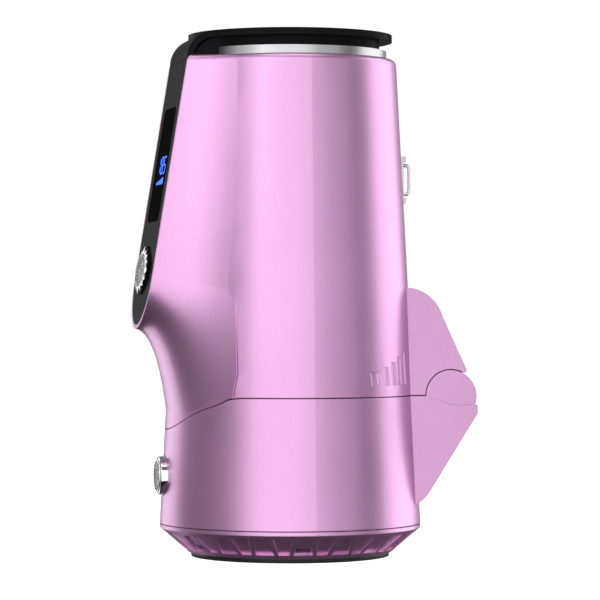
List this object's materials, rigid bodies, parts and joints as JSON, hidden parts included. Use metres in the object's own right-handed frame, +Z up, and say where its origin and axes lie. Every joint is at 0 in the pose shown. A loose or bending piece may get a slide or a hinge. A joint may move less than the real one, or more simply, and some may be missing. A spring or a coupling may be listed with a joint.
{
  "type": "hair dryer",
  "caption": "Compact upright hair dryer: round tapered barrel with a display strip, hinged at the rear on a vented base, air outlet on top.",
  "frame": {"origin": "centre of the rubber stud under the base, on the barrel's axis", "axes": "+Z up the barrel, -Y towards the control strip, +Y towards the rear hinge"},
  "size_m": [0.087, 0.1119, 0.1732],
  "materials": {
    "black_gloss": "high gloss",
    "black_satin": "satin moulded",
    "board_green": "solder mask",
    "chrome": "polished",
    "copper_parts": "plated",
    "cream_plastic": "heat resistant moulding",
    "grey_plastic": "fine texture",
    "mesh_steel": "woven",
    "mica": "layered sheet",
    "pink_shell": "satin metallic paint with a fine grain",
    "rubber": "matt",
    "silver_ring": "satin anodised",
    "steel": "turned"
  },
  "bodies": {
    "base": {"lower_housing": "pink_shell", "filter_shelf": "black_satin", "intake_ring": "pink_shell", "base_plate": "black_satin", "foot_ring": "rubber", "base_screws": "steel", "filter_frame": "grey_plastic", "filter_mesh": "mesh_steel", "power_inlet": "black_satin", "inlet_pins": "copper_parts", "power_board": "board_green", "power_board_parts": "black_satin", "base_contacts": "copper_parts", "hinge_pin": "steel", "latch_guide": "grey_plastic", "latch_spring": "steel"},
    "barrel": {"upper_housing": "pink_shell", "latch_catch": "grey_plastic", "top_cap": "black_gloss", "trim_ring": "silver_ring", "front_panel": "black_gloss", "display_window": "black_gloss", "display_module": "grey_plastic", "control_board": "board_green", "button_switch": "black_satin", "outlet_grille": "black_satin", "barrel_screws": "steel", "loop_lugs": "chrome", "fan_duct": "cream_plastic", "duct_gasket": "rubber", "inlet_guard": "black_satin", "motor_can": "steel", "motor_mount": "cream_plastic", "heater_sleeve": "mica", "heater_core": "mica", "heater_coils": "steel", "thermostat": "copper_parts", "ion_emitter": "grey_plastic", "barrel_contacts": "copper_parts"},
    "latch": {"latch_button": "chrome", "latch_slide": "grey_plastic"},
    "impeller": {"impeller": "grey_plastic", "motor_shaft": "steel"},
    "mode_button": {"mode_button": "chrome"},
    "strap_loop": {"strap_loop": "chrome"}
  },
  "joints": [
    {"name": "barrel_tilt", "type": "hinge", "parent": "base", "child": "barrel", "pos_m": [0, 0.0508, 0.0533], "axis": [-1, 0, 0], "range_deg": [0, 75]},
    {"name": "latch_press", "type": "slide", "parent": "base", "child": "latch", "axis": [0, 1, 0], "range_m": [0, 0.002], "stiffness_N_per_m": 600, "deforming": ["latch_spring"]},
    {"name": "mode_button_press", "type": "slide", "parent": "barrel", "child": "mode_button", "axis": [0, 0.9869, -0.1616], "range_m": [0, 0.0007], "stiffness_N_per_m": 900},
    {"name": "impeller_spin", "type": "hinge", "parent": "barrel", "child": "impeller", "pos_m": [0, 0, 0.069], "axis": [0, 0, 1], "continuous": true},
    {"name": "strap_loop_swing", "type": "hinge", "parent": "barrel", "child": "strap_loop", "pos_m": [0, 0.0384, 0.1255], "axis": [0, 0, 1], "range_deg": [-70, 70]}
  ]
}
